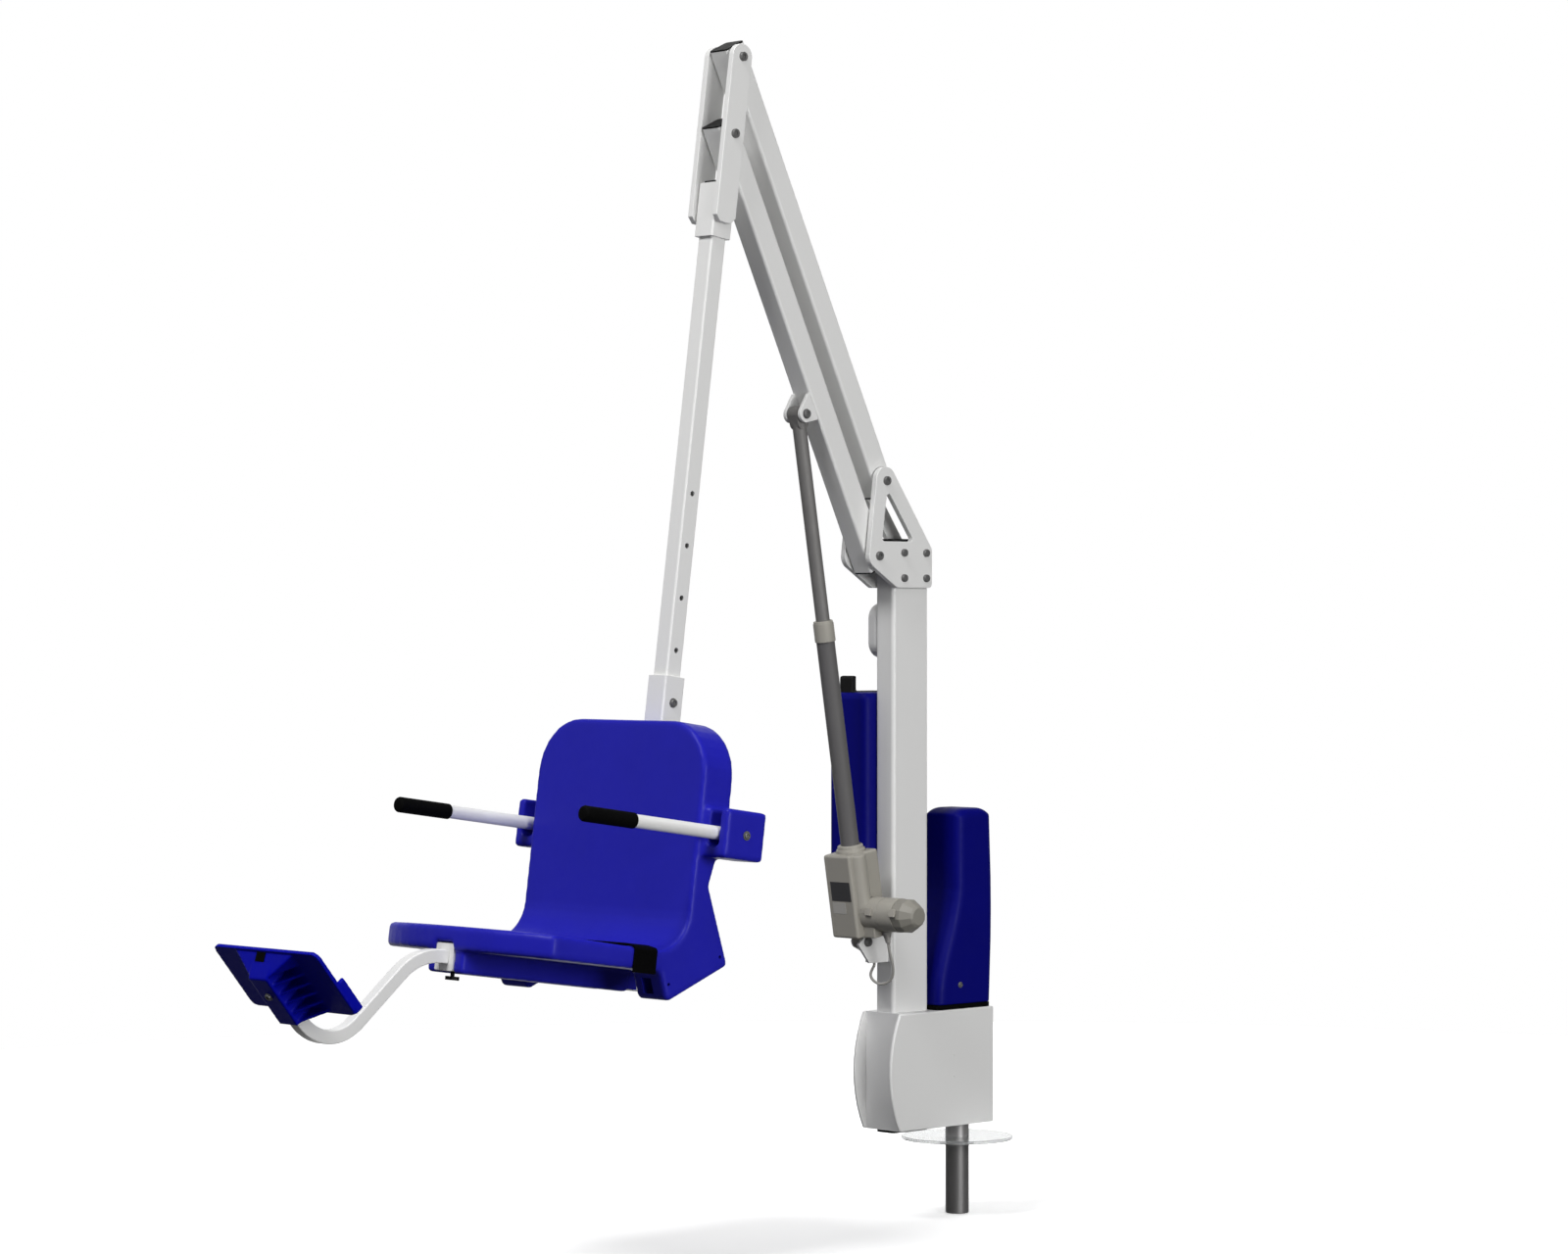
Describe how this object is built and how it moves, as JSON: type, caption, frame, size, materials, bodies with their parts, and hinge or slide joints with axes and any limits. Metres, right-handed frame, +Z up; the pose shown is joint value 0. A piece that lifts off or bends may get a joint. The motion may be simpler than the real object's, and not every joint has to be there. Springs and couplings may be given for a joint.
{
  "type": "pool lift",
  "caption": "Powered pool lift: turning mast on a deck anchor post, parallel lifting arms driven by a linear actuator, moulded seat with armrests, belt and footrest.",
  "frame": {"origin": "centre of the anchor post's foot", "axes": "+Z up, +X from the mast towards the seat, +Y the sitter's left"},
  "size_m": [1.8974, 0.6, 2.3444],
  "materials": {
    "post_steel": "satin stainless",
    "clear_disc": "clear acrylic",
    "gear_steel": "machined",
    "bush_bronze": "machined",
    "drive_dark": "dark coat",
    "white_paint": "powder coat",
    "blue_plastic": "rotationally moulded",
    "black_plastic": "moulded",
    "black_rubber": "foam",
    "belt_webbing": "woven webbing",
    "bolt_steel": "dark stainless",
    "warm_grey": "coated die casting",
    "tube_grey": "anodised",
    "lead_grey": "cable sheath",
    "white_plastic": "moulded"
  },
  "bodies": {
    "base": {"anchor_post": "post_steel", "deck_disc": "clear_disc", "post_gear": "gear_steel"},
    "mast": {"base_housing": "white_paint", "slew_bush": "bush_bronze", "slew_motor": "drive_dark", "rear_cover": "blue_plastic", "cover_gasket": "black_rubber", "mast_tube": "white_paint", "mast_foot_cap": "black_plastic", "mast_top_cap": "black_plastic", "mast_plate_near": "white_paint", "mast_plate_far": "white_paint", "mast_bolt_1": "bolt_steel", "mast_bolt_2": "bolt_steel", "mast_bolt_3": "bolt_steel", "mast_bolt_4": "bolt_steel", "control_box": "blue_plastic", "junction_box": "white_plastic", "actuator_bracket": "white_paint", "bracket_pin": "bolt_steel", "pivot_bolt_mast_lower": "bolt_steel", "pivot_bolt_mast_upper": "bolt_steel", "actuator_cable": "lead_grey"},
    "pinion": {"drive_pinion": "gear_steel"},
    "battery": {"battery": "black_plastic"},
    "lower_arm": {"lower_arm": "white_paint", "lower_arm_cap_mast": "black_plastic", "lower_arm_cap_head": "black_plastic", "rod_ear_near": "white_paint", "rod_ear_far": "white_paint"},
    "upper_arm": {"upper_arm": "white_paint", "upper_arm_cap_mast": "black_plastic", "upper_arm_cap_head": "black_plastic"},
    "head": {"head_plate_near": "white_paint", "head_plate_far": "white_paint", "head_sleeve": "white_paint", "pivot_bolt_head_lower": "bolt_steel", "pivot_bolt_head_upper": "bolt_steel", "seat_pole": "white_paint", "seat_sleeve": "white_paint", "sleeve_bolt": "bolt_steel", "seat_rail": "white_paint", "seat_shell": "blue_plastic", "seat_belt": "belt_webbing", "armrest_pin_near": "bolt_steel", "armrest_pin_far": "bolt_steel"},
    "actuator": {"actuator_gearbox": "warm_grey", "motor_cap": "warm_grey", "actuator_tube": "tube_grey", "tube_collar": "warm_grey", "cable_plug": "lead_grey"},
    "rod": {"actuator_rod": "bolt_steel"},
    "armrest_near": {"armrest_tube_near": "white_paint", "armrest_grip_near": "black_rubber"},
    "armrest_far": {"armrest_tube_far": "white_paint", "armrest_grip_far": "black_rubber"},
    "footrest": {"footrest_tube": "white_paint", "foot_plate": "blue_plastic"},
    "knob": {"socket_knob": "black_plastic"}
  },
  "joints": [
    {"name": "mast_slew", "type": "hinge", "parent": "base", "child": "mast", "pos_m": [0, 0, 0], "axis": [0, 0, 1], "range_deg": [-120, 120]},
    {"name": "pinion_spin", "type": "hinge", "parent": "mast", "child": "pinion", "pos_m": [0.058, 0, 0.39], "axis": [0, 0, 1], "range_deg": [-380, 380]},
    {"name": "battery_lift", "type": "slide", "parent": "mast", "child": "battery", "axis": [0, 0, 1], "range_m": [0, 0.15]},
    {"name": "arm_raise", "type": "hinge", "parent": "mast", "child": "lower_arm", "pos_m": [0.2695, 0, 1.3445], "axis": [0, 1, 0], "range_deg": [0, 82]},
    {"name": "upper_arm_swing", "type": "hinge", "parent": "mast", "child": "upper_arm", "pos_m": [0.24829, 0, 1.49542], "axis": [0, 1, 0], "range_deg": [-0.5, 82.5]},
    {"name": "head_level", "type": "hinge", "parent": "lower_arm", "child": "head", "pos_m": [0.66623, 0, 2.15791], "axis": [0, 1, 0], "range_deg": [-82.5, 0.5]},
    {"name": "actuator_tilt", "type": "hinge", "parent": "mast", "child": "actuator", "pos_m": [0.277, 0, 0.5706], "axis": [0, 1, 0], "range_deg": [-0.2, 15.65]},
    {"name": "rod_slide", "type": "slide", "parent": "actuator", "child": "rod", "axis": [0.1676, 0, 0.9859], "range_m": [-0.3759, 0.001]},
    {"name": "armrest_near_flip", "type": "hinge", "parent": "head", "child": "armrest_near", "pos_m": [0.88016, 0.265, 0.8139], "axis": [0, -1, 0], "range_deg": [0, 95]},
    {"name": "armrest_far_flip", "type": "hinge", "parent": "head", "child": "armrest_far", "pos_m": [0.88016, -0.265, 0.8139], "axis": [0, -1, 0], "range_deg": [0, 95]},
    {"name": "footrest_slide", "type": "slide", "parent": "head", "child": "footrest", "axis": [0.9903, 0, 0.1392], "range_m": [0, 0.045]},
    {"name": "knob_turn", "type": "hinge", "parent": "head", "child": "knob", "pos_m": [1.33415, 0, 0.59566], "axis": [-0.1392, 0, 0.9903], "range_deg": [0, 360]}
  ],
  "couplings": [
    {"joint": "pinion_spin", "follows": "mast_slew", "ratio": 3.1429},
    {"joint": "upper_arm_swing", "follows": "arm_raise", "ratio": 1},
    {"joint": "head_level", "follows": "arm_raise", "ratio": -1},
    {"joint": "actuator_tilt", "follows": "arm_raise", "ratio": 0.18841},
    {"joint": "rod_slide", "follows": "arm_raise", "m_per_rad": -0.26128}
  ]
}
